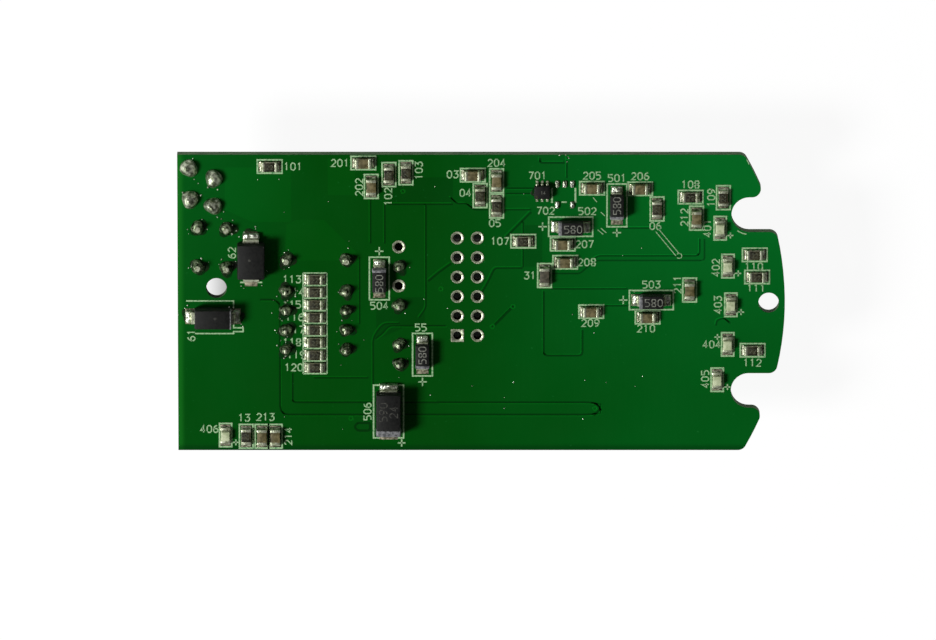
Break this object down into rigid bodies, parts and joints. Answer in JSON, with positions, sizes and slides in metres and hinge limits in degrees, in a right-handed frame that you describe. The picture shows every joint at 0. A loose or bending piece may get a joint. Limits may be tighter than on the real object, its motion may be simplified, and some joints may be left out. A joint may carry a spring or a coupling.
{
  "type": "emulator circuit board",
  "caption": "Populated green circuit board with a rounded, notched nose, an open pin-header footprint, surface chips on top and taller leaded parts beneath.",
  "frame": {"origin": "middle of the rear fixing hole, on the board's top face, because the board is held by its holes and can't rest level on the tall parts of its underside", "axes": "+X along the board to its rounded nose, +Y across the board, +Z out of the top face"},
  "size_m": [0.0768, 0.0385, 0.0147],
  "materials": {
    "board": "gloss",
    "plating": "satin",
    "solder": "satin",
    "resistor": "satin",
    "capacitor": "satin",
    "ferrite": "matte",
    "lamp": "gloss",
    "tantalum": "matte",
    "diode": "matte",
    "package": "matte",
    "lead": "satin",
    "converter": "matte",
    "fuse": "gloss",
    "film": "gloss",
    "crystal": "satin"
  },
  "bodies": {
    "root": {"bare_pads": "solder", "board": "board", "chip_capacitor_1": "capacitor", "chip_capacitor_10": "capacitor", "chip_capacitor_11": "capacitor", "chip_capacitor_12": "capacitor", "chip_capacitor_13": "capacitor", "chip_capacitor_14": "capacitor", "chip_capacitor_2": "capacitor", "chip_capacitor_3": "capacitor", "chip_capacitor_4": "capacitor", "chip_capacitor_5": "capacitor", "chip_capacitor_6": "capacitor", "chip_capacitor_7": "capacitor", "chip_capacitor_8": "capacitor", "chip_capacitor_9": "capacitor", "chip_resistor_1": "resistor", "chip_resistor_10": "resistor", "chip_resistor_11": "resistor", "chip_resistor_12": "resistor", "chip_resistor_13": "resistor", "chip_resistor_2": "resistor", "chip_resistor_3": "resistor", "chip_resistor_4": "resistor", "chip_resistor_5": "resistor", "chip_resistor_6": "resistor", "chip_resistor_7": "resistor", "chip_resistor_8": "resistor", "chip_resistor_9": "resistor", "chip_solder": "solder", "clamp_diode": "diode", "clock_crystal": "crystal", "controller_leads": "lead", "dip_coupler": "package", "ferrite_bead": "ferrite", "film_capacitor": "film", "header_pads": "plating", "indicator_led_1": "lamp", "indicator_led_2": "lamp", "indicator_led_3": "lamp", "indicator_led_4": "lamp", "indicator_led_5": "lamp", "indicator_led_6": "lamp", "isolated_converter": "converter", "large_tantalum": "tantalum", "line_driver": "package", "logic_chip": "package", "main_controller": "package", "pin_joints": "solder", "resettable_fuse": "fuse", "resistor_ladder": "resistor", "small_tantalum_1": "tantalum", "small_tantalum_2": "tantalum", "small_tantalum_3": "tantalum", "small_tantalum_4": "tantalum", "small_tantalum_5": "tantalum", "spare_pads": "plating", "supply_diode": "diode", "surge_diode": "diode", "wire_joints": "solder"}
  },
  "joints": []
}
